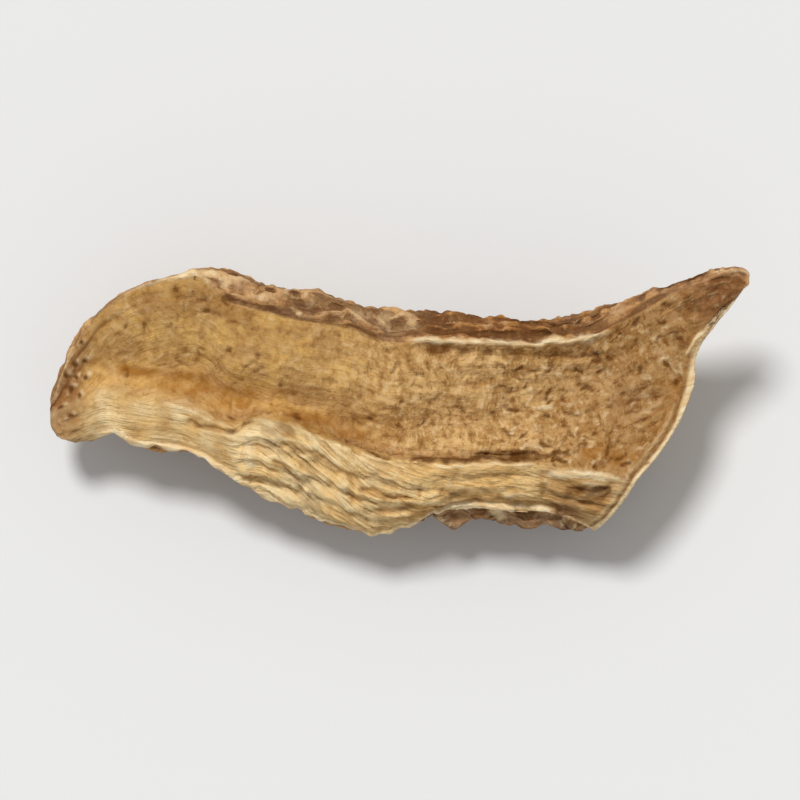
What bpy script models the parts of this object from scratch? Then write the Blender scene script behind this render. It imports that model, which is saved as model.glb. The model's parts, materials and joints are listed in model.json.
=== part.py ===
"""A piece of dried chicory root, cut lengthwise to about a quarter of the root's round.

Five lines run along the piece, from its blunt left tip to the slanting cut at its right end: the back edge
of the dished cut face, the crest where that face meets the pale flank, the foot of the flank, the keel that
the piece lies on, and the shoulder of the bark behind. A tube primitive is drawn over those lines, its ends
are closed, and its surface is wrinkled by a formula. A share of the length runs from 0 at the tip to 1 at the
cut. Lengths are in millimetres until the mesh is scaled. +X runs along the piece, +Y is its bark side and +Z
is up.
"""

import math

import bmesh
import bpy
import numpy as np
from mathutils import Vector, noise

MM = 0.001
GROUP = "Chicory root"
NAME = "chicory_root_piece"

# The five lines, each as points (x, y, z)
CUT_EDGE = (
    (-17.3, -0.2, 5.0), (-16.8, 1.5, 5.6), (-15.9, 3.2, 6.1), (-14.9, 4.4, 6.5),
    (-13.3, 5.5, 6.9), (-11.5, 6.05, 7.2), (-9.9, 6.2, 7.5), (-8.4, 4.9, 7.6),
    (-5.2, 4.1, 7.4), (-2.6, 3.8, 7.3), (-0.5, 2.9, 7.1), (1.2, 3.1, 7.3),
    (4.0, 3.0, 7.4), (7.0, 2.9, 7.5), (9.4, 3.2, 7.8), (11.4, 4.1, 8.3),
    (13.6, 5.4, 9.1), (15.6, 6.1, 9.8), (16.9, 6.2, 10.1), (17.4, 5.8, 9.9),
)
CREST = (
    (-17.2, -1.1, 4.9), (-16.4, -0.4, 5.5), (-14.8, 0.4, 6.0), (-13.0, 0.1, 6.3),
    (-10.5, -0.4, 6.6), (-8.3, -1.3, 6.9), (-7.0, -0.8, 7.4), (-5.2, -1.1, 7.8),
    (-3.8, -1.8, 7.9), (-1.1, -2.7, 8.0), (3.4, -3.0, 8.1), (6.7, -3.1, 8.0),
    (9.8, -3.6, 7.8), (11.9, -3.9, 7.6),
)
FOOT = (
    (-17.0, -1.6, 4.4), (-16.4, -2.05, 4.1), (-15.0, -1.85, 4.4), (-14.1, -1.45, 5.0),
    (-13.1, -2.2, 4.7), (-11.5, -2.35, 4.8), (-9.8, -2.8, 4.7), (-8.7, -3.5, 4.6),
    (-7.5, -4.45, 4.6), (-5.6, -5.25, 4.5), (-3.4, -6.15, 4.3), (-1.1, -6.7, 4.3),
    (0.9, -6.1, 4.6), (2.4, -5.1, 5.1), (5.0, -5.2, 5.1), (7.4, -5.4, 4.9),
    (9.7, -6.5, 4.3),
)
KEEL = (
    (-16.9, -1.0, 3.6), (-15.6, -0.3, 2.1), (-13.0, 0.5, 0.9), (-9.5, 0.5, 0.2),
    (-5.0, 0.2, -0.05), (0.0, -0.1, -0.1), (4.5, -0.2, 0.05), (8.5, -0.5, 0.5),
    (12.2, -0.8, 1.5),
)
SHOULDER = (
    (-17.5, -0.5, 4.6), (-17.0, 1.6, 4.8), (-16.1, 3.35, 5.2), (-15.1, 4.65, 5.5),
    (-13.5, 5.7, 5.9), (-11.6, 6.25, 6.2), (-9.6, 6.6, 6.5), (-6.8, 5.95, 6.2),
    (-4.4, 5.75, 6.0), (-0.4, 4.65, 5.8), (1.6, 4.5, 5.9), (5.0, 4.2, 6.1),
    (9.3, 4.35, 6.6), (11.2, 5.1, 7.3), (13.4, 5.85, 8.2), (15.7, 6.55, 9.0),
    (17.1, 6.75, 9.5), (17.6, 6.2, 9.5),
)

# Rows of points round the piece, and rings along it
FACE_ROWS = 17
FLANK_ROWS = 15
LIP_ROWS = 11
BELLY_ROWS = 14
SHOULDER_ROWS = 7
HALF_ROUND = FACE_ROWS + FLANK_ROWS
ROUND = HALF_ROUND + LIP_ROWS + BELLY_ROWS + SHOULDER_ROWS
RINGS = 78

# The dish of the cut face by share of the length: its depth, and how far across from the back edge is lowest
DISH_DEPTH = ((0.0, 0.2), (0.12, 1.0), (0.3, 1.5), (0.6, 1.6), (0.85, 1.3), (1.0, 0.9))
DISH_LOW = ((0.0, 0.5), (0.15, 0.7), (0.35, 0.85), (0.6, 0.8), (0.8, 0.6), (1.0, 0.5))

# A raised ridge on the back edge and a split along the crest, each between two shares of the length
RIDGE_SPAN = (0.48, 0.86)
RIDGE_RISE = 0.35
RIDGE_WIDTH = 0.5
SPLIT_SPAN = (0.46, 0.86)
SPLIT_DEPTH = 0.8
SPLIT_WIDTH = 0.3
SPLIT_FROM_CREST = 0.45
SPLIT_LIP = 0.94

# The flank swells a little; the bark curves below the foot, to the keel, and up to the shoulder
FLANK_SWELL = Vector((0, -0.38, 0.33))
LIP_DROP = Vector((0, 0.1, -1.6))
KEEL_REACH = Vector((0, 3.3, 0))
SHOULDER_DROP = Vector((0, 0, -3.2))
HORN_UNDERCUT = Vector((-1.6, -2.2, -1.2))
HORN_FROM = 0.8
SHOULDER_ROUND = 0.55
TIP_ROUND = 0.1
TIP_SHARE = 0.22

# The bark: its breadth, its furrows' spacing and depth, and how much of them is left under the piece's weight
BARK_ROUND = 17.0
BARK_FURROW = 2.5
BARK_RELIEF = 0.8
BARK_SUNK = 0.8
KEEL_PLACE = LIP_ROWS / (ROUND - HALF_ROUND)
KEEL_CALM = 0.1
KEEL_LEFT = 0.25

# The flank's breadth, folds and their depth, and the cut face's breadth and slight waves
FLANK_ROUND = 6.0
FLANK_FOLDS = 4
FLANK_RELIEF = 0.45
FACE_ROUND = 8.0
FACE_RELIEF = 0.16

# Folds and lumps wander by soft noises, each given as (amount, size along, size across, seed)
BARK_BENDS = ((1.0, 7.0, 7.0, 3.1), (0.4, 2.8, 2.8, 8.7))
BARK_LUMPS = ((0.3, 3.0, 3.0, 5.5),)
FLANK_BENDS = ((0.6, 6.0, 4.0, 21.0),)
FLANK_LUMPS = ((0.8, 2.6, 2.6, 14.0),)
FACE_WAVES = ((1.0, 3.6, 1.8, 30.0), (0.6, 2.0, 2.0, 37.0))

# How far in from its two borders each side's relief grows to its full depth, as shares of its breadth
BARK_BORDERS = (0.1, 0.25)
FLANK_BORDERS = (0.2, 0.2)
FACE_BORDERS = (0.2, 0.2)
END_BORDER = 0.05
WRINKLED_FROM = 0.3

# The two ends: the slanting cut is dented below the horn, swells near the crest, and is hollow
CUT_WAVE_FROM = 0.72
CUT_DENT = 1.15
CUT_SWELL = 0.5
END_CUTS = 4
TIP_OUTWARD = Vector((-1, 0, 0))
TIP_BULGE = 0.3
CUT_OUTWARD = Vector((0.86, -0.51, 0))
CUT_HOLLOW = 0.7

DRY_WOOD = (0.56, 0.36, 0.17, 1.0)


def smooth_line(points):
    """A smooth line through the points, read by its share of the length, from 0 to 1."""
    places = np.array(points, float)
    steps = np.linalg.norm(np.diff(places, axis=0), axis=1)
    shares = np.concatenate(([0.0], np.cumsum(steps))) / steps.sum()
    slopes = np.gradient(places, shares, axis=0)

    def at(share):
        i = int(np.clip(np.searchsorted(shares, share) - 1, 0, len(shares) - 2))
        gap = shares[i + 1] - shares[i]
        t = (share - shares[i]) / gap
        start = places[i] * (2 * t**3 - 3 * t**2 + 1) + slopes[i] * gap * (t**3 - 2 * t**2 + t)
        end = places[i + 1] * (3 * t**2 - 2 * t**3) + slopes[i + 1] * gap * (t**3 - t**2)
        return Vector(start + end)

    return at


EDGE_LINE = smooth_line(CUT_EDGE)
CREST_LINE = smooth_line(CREST)
FOOT_LINE = smooth_line(FOOT)
KEEL_LINE = smooth_line(KEEL)
SHOULDER_LINE = smooth_line(SHOULDER)


def read(table, share):
    """A value from a short table of (share, value), straight between its rows."""
    shares, values = zip(*table)
    return float(np.interp(share, shares, values))


def rise(t):
    """From 0 to 1 with a soft start and stop."""
    t = min(max(t, 0.0), 1.0)
    return t * t * (3 - 2 * t)


def fade(t, borders):
    """0 at both ends of 0 to 1, and 1 from the two borders inwards."""
    return rise(t / borders[0]) * rise((1 - t) / borders[1])


def within(span, share):
    """0 outside a span of the length, rising to 1 in its middle half."""
    start, stop = span
    return fade((share - start) / (stop - start), (0.25, 0.25))


def bezier(a, b, c, d, t):
    """A curve from a to d that leaves towards b and arrives from c."""
    s = 1 - t
    return a * s**3 + b * 3 * s**2 * t + c * 3 * s * t**2 + d * t**3


def wander(waves, along, across):
    """The sum of some soft noises, the same on every run."""
    total = 0.0
    for amount, long, wide, seed in waves:
        total += amount * noise.noise(Vector((along / long, across / wide, seed)))
    return total


def face_point(share, t):
    """Across the dished cut face, from its back edge at 0 to the crest at 1."""
    edge, crest = EDGE_LINE(share), CREST_LINE(share)
    width = (crest - edge).length
    point = edge.lerp(crest, t)
    power = math.log(0.5) / math.log(read(DISH_LOW, share))
    point.z -= read(DISH_DEPTH, share) * math.sin(math.pi * t**power)
    point.z += RIDGE_RISE * within(RIDGE_SPAN, share) * math.exp(-((t * width / RIDGE_WIDTH) ** 2))
    from_split = (1 - t) * width - SPLIT_FROM_CREST
    point.z -= SPLIT_DEPTH * within(SPLIT_SPAN, share) * math.exp(-((from_split / SPLIT_WIDTH) ** 2))
    return point


def flank_point(share, t):
    """Down the flank, from the crest at 0 to the foot at 1, swelling a little between them."""
    return CREST_LINE(share).lerp(FOOT_LINE(share), t) + FLANK_SWELL * math.sin(math.pi * t)


def girth(share):
    """How far the bark curves out, growing from the blunt tip to its full reach."""
    return min(1.0, TIP_ROUND + (1 - TIP_ROUND) * share / TIP_SHARE)


def lip_point(share, t):
    """Under the flank's foot to the keel."""
    foot, keel = FOOT_LINE(share), KEEL_LINE(share)
    return bezier(foot, foot + LIP_DROP * girth(share), keel - KEEL_REACH * girth(share), keel, t)


def belly_point(share, t):
    """Up the bark from the keel to the shoulder, undercut below the horn."""
    keel, shoulder = KEEL_LINE(share), SHOULDER_LINE(share)
    to_horn = rise((share - HORN_FROM) / (1 - HORN_FROM))
    drop = (SHOULDER_DROP * girth(share)).lerp(HORN_UNDERCUT, to_horn)
    return bezier(keel, keel + KEEL_REACH * girth(share), shoulder + drop, shoulder, t)


def shoulder_point(share, t):
    """Over the bark's shoulder to the back edge of the cut face."""
    edge, shoulder = EDGE_LINE(share), SHOULDER_LINE(share)
    outward = shoulder - edge
    up = Vector((0, 0, -SHOULDER_ROUND * outward.z))
    out = Vector((outward.x, outward.y, 0)) * SHOULDER_ROUND
    return bezier(shoulder, shoulder + up, edge + out, edge, t)


def face_steps(share):
    """Where the rows across the cut face lie: even, but for one in the split and one on its lower lip."""
    width = (CREST_LINE(share) - EDGE_LINE(share)).length
    split = 1 - min(SPLIT_FROM_CREST / width, 1 / 3)
    last = FACE_ROWS - 3
    return [split * SPLIT_LIP * i / last for i in range(last + 1)] + [split, (1 + split) / 2]


def section(share):
    """The points round the piece at a share of its length, each with its side and its place across it."""
    ring = [(face_point(share, t), "face", t) for t in face_steps(share)]
    ring += [(flank_point(share, i / FLANK_ROWS), "flank", i / FLANK_ROWS) for i in range(FLANK_ROWS)]
    bark = [lip_point(share, i / LIP_ROWS) for i in range(LIP_ROWS)]
    bark += [belly_point(share, i / BELLY_ROWS) for i in range(BELLY_ROWS)]
    bark += [shoulder_point(share, i / SHOULDER_ROWS) for i in range(SHOULDER_ROWS)]
    ring += [(point, "bark", i / len(bark)) for i, point in enumerate(bark)]
    late = rise((share - CUT_WAVE_FROM) / (1 - CUT_WAVE_FROM))
    horn, crest = EDGE_LINE(1).y, CREST_LINE(1).y
    for point, _, _ in ring:
        across = (horn - point.y) / (horn - crest)
        if 0 < across < 1:
            depth = CUT_DENT if across < 0.5 else CUT_SWELL
            point.x -= depth * late * math.sin(2 * math.pi * across)
    return ring


def relief(side, share, t):
    """How far the dried surface stands out, at a share of the length and a place across its side."""
    along = share * (CREST_LINE(1).x - CREST_LINE(0).x)
    grown = 0.3 + 0.7 * rise(share / WRINKLED_FROM)
    if side == "bark":
        across = BARK_ROUND * t
        fold = abs(math.sin(math.pi * (across / BARK_FURROW + wander(BARK_BENDS, along, across))))
        pressed = (1 - KEEL_LEFT) * math.exp(-(((t - KEEL_PLACE) / KEEL_CALM) ** 2))
        height = fold - BARK_SUNK + wander(BARK_LUMPS, along, across)
        return BARK_RELIEF * height * fade(t, BARK_BORDERS) * (1 - pressed) * grown
    if side == "flank":
        across = FLANK_ROUND * t
        fold = abs(math.sin(math.pi * (FLANK_FOLDS * t + wander(FLANK_BENDS, along, across))))
        height = fold - 0.5 + wander(FLANK_LUMPS, along, across)
        return FLANK_RELIEF * height * fade(t, FLANK_BORDERS) * grown
    return FACE_RELIEF * wander(FACE_WAVES, along, FACE_ROUND * t) * fade(t, FACE_BORDERS)


def draw_tube(bm):
    """The tube primitive: rings along its wall, and rungs across both ends from cut face to bark."""
    bmesh.ops.create_cone(bm, cap_ends=True, segments=ROUND, radius1=1, radius2=1, depth=RINGS)
    rungs = []
    for end in (-RINGS / 2, RINGS / 2):
        rim = {row_of(v): v for v in bm.verts if abs(v.co.z - end) < 0.5}
        for row in range(1, HALF_ROUND):
            rungs += bmesh.ops.connect_verts(bm, verts=[rim[row], rim[ROUND - row]])["edges"]
    bmesh.ops.subdivide_edges(bm, edges=rungs, cuts=END_CUTS)
    lengthwise = [e for e in bm.edges if e.calc_length() > RINGS / 2]
    bmesh.ops.subdivide_edges(bm, edges=lengthwise, cuts=RINGS - 1)


def row_of(v):
    """Which row round the tube a point of the primitive is on."""
    return round(math.atan2(v.co.y, v.co.x) / (2 * math.pi) * ROUND) % ROUND


def sort_points(bm):
    """The wall's points by ring and row, and the ends' inner points by ring, row and place on their rung."""
    wall, inner = {}, {}
    for v in bm.verts:
        ring = round(v.co.z + RINGS / 2)
        if v.co.xy.length > 0.999:
            wall[ring, row_of(v)] = v
        else:
            row = round(math.acos(v.co.x) / (2 * math.pi) * ROUND)
            half = math.sin(2 * math.pi * row / ROUND)
            inner[v] = (ring, row, (half - v.co.y) / (2 * half))
    return wall, inner


def fill_end(wall, inner, ring, outward, bulge):
    """Draws the inner points of one end between their rim points, moved outward by up to the bulge."""
    rim = [wall[ring, row].co for row in range(ROUND)]
    for v, (end, row, across) in inner.items():
        if end == ring:
            v.co = rim[row].lerp(rim[ROUND - row], across)
            inside = min((v.co - point).length for point in rim)
            v.co += outward * bulge * (1 - math.exp(-inside * inside))


def build_mesh():
    """The whole piece as one closed mesh, wrinkled, resting on the ground and centred over the origin."""
    bm = bmesh.new()
    draw_tube(bm)
    wall, inner = sort_points(bm)
    sections = [section(i / RINGS) for i in range(RINGS + 1)]
    for (ring, row), v in wall.items():
        v.co = sections[ring][row][0]
    fill_end(wall, inner, 0, TIP_OUTWARD, 0)
    fill_end(wall, inner, RINGS, CUT_OUTWARD, 0)
    bmesh.ops.recalc_face_normals(bm, faces=bm.faces)
    bm.normal_update()
    moves = {}
    for (ring, row), v in wall.items():
        _, side, t = sections[ring][row]
        share = ring / RINGS
        moves[v] = v.normal * fade(share, (END_BORDER, END_BORDER)) * relief(side, share, t)
    for v, move in moves.items():
        v.co += move
    fill_end(wall, inner, 0, TIP_OUTWARD, TIP_BULGE)
    fill_end(wall, inner, RINGS, CUT_OUTWARD, -CUT_HOLLOW)
    for v in bm.verts:
        v.co.z = max(v.co.z, 0.0)
    xs, ys = [v.co.x for v in bm.verts], [v.co.y for v in bm.verts]
    middle = Vector((min(xs) + max(xs), min(ys) + max(ys), 0)) / 2
    bmesh.ops.translate(bm, vec=-middle, verts=bm.verts)
    bmesh.ops.scale(bm, vec=(MM, MM, MM), verts=bm.verts)
    bmesh.ops.recalc_face_normals(bm, faces=bm.faces)
    mesh = bpy.data.meshes.new(NAME)
    bm.to_mesh(mesh)
    bm.free()
    return mesh


def dried_root_material():
    """Dry, matt, tan root."""
    material = bpy.data.materials.new("dried_root")
    material.use_nodes = True
    shader = material.node_tree.nodes["Principled BSDF"]
    shader.inputs["Base Color"].default_value = DRY_WOOD
    shader.inputs["Roughness"].default_value = 0.85
    shader.inputs["Metallic"].default_value = 0.0
    return material


def main():
    for old in list(bpy.data.objects):
        bpy.data.objects.remove(old)
    group = bpy.data.collections.new(GROUP)
    bpy.context.scene.collection.children.link(group)
    piece = bpy.data.objects.new(NAME, build_mesh())
    group.objects.link(piece)
    piece.data.materials.append(dried_root_material())
    piece.data.shade_smooth()
    piece.data.set_sharp_from_angle(angle=math.radians(60))


main()
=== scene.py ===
# %% [markdown]
# # A chip of dried chicory root
# The chip is a lengthwise piece of a small root, about 35 mm long. It lies on its furrowed bark, with two cut
# faces up: a wide dished one, tan and smooth, and a narrow pale one, all folds and fibres. Its form comes from
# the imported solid, and this lesson adds the fine relief and the colours of dry root. Work on this scale is
# easiest in millimetres, so lengths are named in them and turned into metres at the end.

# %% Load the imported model
import json
import math

import bpy
import numpy as np
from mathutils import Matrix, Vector

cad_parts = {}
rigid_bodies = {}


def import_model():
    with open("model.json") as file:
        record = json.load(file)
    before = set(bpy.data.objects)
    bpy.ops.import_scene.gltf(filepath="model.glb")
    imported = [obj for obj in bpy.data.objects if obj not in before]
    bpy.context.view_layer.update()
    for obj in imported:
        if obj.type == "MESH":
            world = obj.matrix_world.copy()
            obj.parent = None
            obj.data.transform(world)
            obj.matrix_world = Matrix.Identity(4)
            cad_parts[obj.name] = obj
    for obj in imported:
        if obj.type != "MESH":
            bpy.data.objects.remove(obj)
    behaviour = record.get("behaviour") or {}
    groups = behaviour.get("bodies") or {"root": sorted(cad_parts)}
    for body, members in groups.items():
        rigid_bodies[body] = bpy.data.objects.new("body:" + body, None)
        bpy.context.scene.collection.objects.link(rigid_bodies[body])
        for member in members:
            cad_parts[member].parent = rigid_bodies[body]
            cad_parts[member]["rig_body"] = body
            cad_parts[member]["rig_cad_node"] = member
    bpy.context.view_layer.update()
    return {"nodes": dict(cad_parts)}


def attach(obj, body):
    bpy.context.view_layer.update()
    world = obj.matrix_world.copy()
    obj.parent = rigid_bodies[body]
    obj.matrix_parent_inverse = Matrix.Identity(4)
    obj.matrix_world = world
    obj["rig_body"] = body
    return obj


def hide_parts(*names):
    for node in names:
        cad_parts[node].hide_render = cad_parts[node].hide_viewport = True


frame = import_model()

MM = 0.001
cad_root = frame["nodes"]["chicory_root_piece"]

# %% [markdown]
# ## The form
# The solid is faceted, with facets of about half a millimetre. It could be remeshed into even voxels, but that
# melts its creases. Its triangles pair up into rings and rows that run with the root's grain, so the copy is
# merged, turned into four-sided faces, and subdivided. Creased edges stay crisp under subdivision, as the rims
# of a cut do. The slanting cut end is marked first, while its rim is still one sharp loop of edges.

# %% Copy the solid and join its loose triangles
bpy.ops.object.select_all(action="DESELECT")
cad_root.select_set(True)
bpy.context.view_layer.objects.active = cad_root
bpy.ops.object.duplicate()
chip = bpy.context.active_object
chip.name = "dried_chicory_root"
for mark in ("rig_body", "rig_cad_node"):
    del chip[mark]

bpy.ops.object.mode_set(mode="EDIT")
bpy.ops.mesh.select_all(action="SELECT")
bpy.ops.mesh.remove_doubles(threshold=1e-6)
bpy.ops.mesh.tris_convert_to_quads(face_threshold=1.0, shape_threshold=1.0)
bpy.ops.mesh.customdata_custom_splitnormals_clear()
bpy.ops.mesh.select_all(action="DESELECT")
bpy.ops.object.mode_set(mode="OBJECT")
print("joined", len(chip.data.vertices), "points and", len(chip.data.polygons), "faces")

# %% Mark the cut end as a vertex group
CUT_MIDDLE = Vector((12.6, -1.6, 4.5)) * MM
facing_end = [face for face in chip.data.polygons if face.normal.x > 0.4]
seed = min(facing_end, key=lambda face: (face.center - CUT_MIDDLE).length)
seed.select = True
bpy.ops.object.mode_set(mode="EDIT")
bpy.ops.mesh.select_mode(type="FACE")
bpy.ops.mesh.faces_select_linked_flat(sharpness=math.radians(25))
bpy.ops.object.vertex_group_add()
bpy.ops.object.vertex_group_assign()
chip.vertex_groups.active.name = "cut_end"

# %% Keep the rim of the cut end as pairs of points
bpy.ops.mesh.region_to_loop()
bpy.ops.object.mode_set(mode="OBJECT")
corners = chip.data.vertices
RIM = [[corners[i].co / MM for i in edge.vertices] for edge in chip.data.edges if edge.select]
bpy.ops.object.mode_set(mode="EDIT")
print("rim of", len(RIM), "edges")

# %% Crease the sharp edges and subdivide
bpy.ops.mesh.select_all(action="DESELECT")
bpy.ops.mesh.select_mode(type="EDGE")
bpy.ops.mesh.edges_select_sharp(sharpness=math.radians(48))
bpy.ops.transform.edge_crease(value=0.55)
bpy.ops.object.mode_set(mode="OBJECT")
finer = chip.modifiers.new("finer", "SUBSURF")
finer.levels = finer.render_levels = 2
bpy.ops.object.modifier_apply(modifier=finer.name)
bpy.ops.object.shade_smooth()
print("subdivided", len(chip.data.vertices), "points")

# %% [markdown]
# ## Lines that the finish follows
# Dry root isn't finished evenly: fibres follow the cut edges, cracks open along the crest, and the bark starts
# at a clean line. So the lines of the form are written down, seen from above, and each point of the surface is
# told how far it lies from them. Everything later, relief and colour alike, is asked for in those words.

# %% The main lines, in millimetres
MIDDLE = (0.05, 0.095, 0.0)
CUT_EDGE = (
    (-17.3, -0.2, 5.0), (-16.8, 1.5, 5.6), (-15.9, 3.2, 6.1), (-14.9, 4.4, 6.5), (-13.3, 5.5, 6.9),
    (-11.5, 6.05, 7.2), (-9.9, 6.2, 7.5), (-8.4, 4.9, 7.6), (-5.2, 4.1, 7.4), (-2.6, 3.8, 7.3),
    (-0.5, 2.9, 7.1), (1.2, 3.1, 7.3), (4.0, 3.0, 7.4), (7.0, 2.9, 7.5), (9.4, 3.2, 7.8),
    (11.4, 4.1, 8.3), (13.6, 5.4, 9.1), (15.6, 6.1, 9.8), (16.9, 6.2, 10.1), (17.4, 5.8, 9.9),
)
CREST = (
    (-17.2, -1.1, 4.9), (-16.4, -0.4, 5.5), (-14.8, 0.4, 6.0), (-13.0, 0.1, 6.3), (-10.5, -0.4, 6.6),
    (-8.3, -1.3, 6.9), (-7.0, -0.8, 7.4), (-5.2, -1.1, 7.8), (-3.8, -1.8, 7.9), (-1.1, -2.7, 8.0),
    (3.4, -3.0, 8.1), (6.7, -3.1, 8.0), (9.8, -3.6, 7.8), (11.9, -3.9, 7.6), (17.4, -4.6, 7.2),
)
FOOT = (
    (-17.0, -1.6, 4.4), (-16.4, -2.05, 4.1), (-15.0, -1.85, 4.6), (-14.1, -1.45, 5.2), (-13.1, -2.2, 5.05),
    (-11.5, -2.35, 5.15), (-9.8, -2.8, 5.2), (-8.7, -3.5, 5.1), (-7.5, -4.45, 4.9), (-5.6, -5.25, 4.65),
    (-3.4, -6.15, 4.35), (-1.1, -6.7, 4.4), (0.9, -6.1, 4.8), (2.4, -5.1, 5.4), (5.0, -5.2, 5.6),
    (7.4, -5.4, 5.45), (8.3, -5.8, 5.3), (9.7, -6.5, 4.5), (12.0, -7.4, 4.0),
)


def read_points():
    """The chip's points and their normals, in millimetres from the middle of the solid."""
    count = len(chip.data.vertices)
    places, normals = np.zeros(count * 3), np.zeros(count * 3)
    chip.data.vertices.foreach_get("co", places)
    chip.data.vertex_normals.foreach_get("vector", normals)
    return places.reshape(-1, 3) / MM, normals.reshape(-1, 3)


calm_places, normals = read_points()
spots = calm_places + MIDDLE
x, y, z = spots.T
print("chip spans", x.min().round(2), "to", x.max().round(2), "mm along")


# %% How far each point lies from a line
def ease(value, low, high):
    """0 below low, 1 above high, and a soft slope between them."""
    share = np.clip((value - low) / (high - low), 0, 1)
    return share * share * (3 - 2 * share)


def bell(distance, width, power=2):
    """1 on a line, falling softly to about a third at a width from it."""
    return np.exp(-(np.abs(distance / width) ** power))


def held_above(values, limit, bend):
    """The values, but bent softly at a limit, so that they end not far below it."""
    over = np.maximum(limit - values, 0)
    return values + over - bend * (1 - np.exp(-over / bend))


def along_line(line, part):
    """The line's y (part 1) or height (part 2) at each point's x."""
    columns = list(zip(*line))
    return np.interp(x, columns[0], columns[part])


def reach(pairs, points):
    """Each point's distance to a chain of straight pieces, and how far along the chain, from 0 to 1."""
    distance, along, gone = np.full(len(points), 1e9), np.zeros(len(points)), 0.0
    for start, stop in pairs:
        start, stop = np.array(start), np.array(stop)
        step = stop - start
        length = np.linalg.norm(step)
        share = np.clip((points - start) @ step / length**2, 0, 1)
        away = np.linalg.norm(points - start - share[:, None] * step, axis=1)
        nearer = away < distance
        distance[nearer] = away[nearer]
        along[nearer] = gone + length * share[nearer]
        gone += length
    return distance, along / gone


def pairs_of(line):
    return list(zip(line, line[1:]))


edge_y, crest_y, foot_y = (along_line(line, 1) for line in (CUT_EDGE, CREST, FOOT))
from_edge, _ = reach(pairs_of(CUT_EDGE), spots)
from_foot, _ = reach(pairs_of(FOOT[:-1]), spots)
from_rim, _ = reach(RIM, calm_places)


def below_bark(pair):
    px, py, pz = (pair[0] + pair[1]) / 2
    return pz < 4.35 or (py > 2 and px < 13.1 + 0.55 * py)


from_skin, _ = reach([pair for pair in RIM if below_bark(pair)], calm_places)
print("nearest to the rim", from_rim.min().round(3), "mm")

# %% [markdown]
# ## Which tissue is where
# Four kinds of tissue show: the smooth heart-side cut, the fibrous flank, the bark, and the end grain. Each gets a
# share of every point, from 0 to 1, so that one runs softly into the next. What looks up belongs to the cuts and
# what looks down to the bark. Furrows of the bark look up too in places, so a point counts as cut only if it is
# near the highest one of its small square of the plan. Nine grids of squares, each shifted a little, are averaged,
# so that no square corner shows.

# %% Share out the tissues
weights = np.zeros(len(spots))
end_group = chip.vertex_groups["cut_end"].index
for point in chip.data.vertices:
    for member in point.groups:
        if member.group == end_group:
            weights[point.index] = member.weight
cut_end = ease(weights, 0.5, 0.95)

SQUARE = 0.5
covered = np.zeros(len(spots))
SHIFTS = [(i / 3, j / 3) for i in range(3) for j in range(3)]
for shift in SHIFTS:
    _, home = np.unique(np.floor(spots[:, :2] / SQUARE + shift), axis=0, return_inverse=True)
    highest = np.zeros(home.max() + 1)
    np.maximum.at(highest, home, z)
    covered += ease(highest[home] - z, 0.9, 1.3) / len(SHIFTS)
over_foot = z - along_line(FOOT, 2)
upper = ease(normals[:, 2], -0.12, 0.12) * ease(over_foot, -0.4, -0.1) * (1 - covered)
folds = ease(over_foot, -0.1, 0.25) * ease(y - foot_y, 0.0, 0.3) * ease(crest_y - y, 0.0, 0.3)
top = np.maximum(upper, folds) * (1 - cut_end)
flank = top * ease(y - foot_y, -0.15, 0.05) * ease(crest_y - y, -0.15, 0.15) * ease(x, -17.1, -16.3)
heart_cut = top * ease(edge_y - y, -0.1, 0.1) * ease(y - crest_y, -0.15, 0.15)
bark = np.clip(1 - flank - heart_cut - cut_end, 0, 1)
print("shares", [round(float(share.mean()), 3) for share in (heart_cut, flank, bark, cut_end)])

# %% Parts of the chip that later steps name
near_edges = np.minimum.reduce((from_edge, from_foot, from_rim))
sturdy = (1 - 0.65 * bell(near_edges, 0.35)) * ease(x, -17.4, -16.4) * ease(-x, -17.4, -15.8)
sturdy *= 1 - 0.75 * bell(from_edge, 1.1) * ease(-x, 7.5, 9.5) * ease(y, -1.0, 1.0)
to_left, to_right = ease(-x, 7.6, 9.0), ease(x, -6.0, 3.0)
folded = ease(x, -8.2, -7.0) * ease(-x, -3.5, 1.0)
horn = ease(x, 12.6, 15.6) * ease(y, 2.8, 4.8)
tip = ease(-x, 15.2, 16.6)
skin = np.clip(top * np.maximum(0.7 * tip, 0.95 * horn), 0, 1)
print("skin on", int((skin > 0.3).sum()), "points")

# %% Smooth the left of the flank, where the fibres lie close, ease its right, and round both tips a little
def smooth_out(chosen, times):
    for point, picked in zip(chip.data.vertices, chosen.tolist()):
        point.select = picked
    bpy.ops.object.mode_set(mode="EDIT")
    bpy.ops.mesh.select_mode(type="VERT")
    bpy.ops.mesh.vertices_smooth(factor=0.5, repeat=times)
    bpy.ops.object.mode_set(mode="OBJECT")
    print("smoothed", int(chosen.sum()), "points")


smooth_out((flank > 0.5) & (x < -7.9) & (x > -16.2), 25)
smooth_out((flank > 0.5) & (x > 1.2) & (x < 7.6), 10)
smooth_out(x > 16.7, 6)
smooth_out(x < -16.7, 30)
calm_places, normals = read_points()
spots = calm_places + MIDDLE
x, y, z = spots.T

# %% [markdown]
# ## Grain coordinates
# Fibres run along the root and bend with its edges, so a pattern in plain XYZ would cut across them. A UV map
# follows them instead: U runs along the chip, and V runs round it, from the back edge over the cut face, down the
# flank and under the bark. On the steep flank, V counts the way down as well as the way out. In its middle the
# fibres slant down to the right, more than its edges do.
# On the end grain, U runs out from the heart and V turns round it, so that the same patterns become rays. Each
# face takes the map of its own tissue, so that no face is torn between two of them.

# %% Measure the grain for each tissue
GRAIN_UNIT = 40.0
FLANK_START, BARK_START, END_START = 14, 24, 60
HEART = np.array((11.9, -3.9, 7.6))
RADIUS = 5.2


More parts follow.
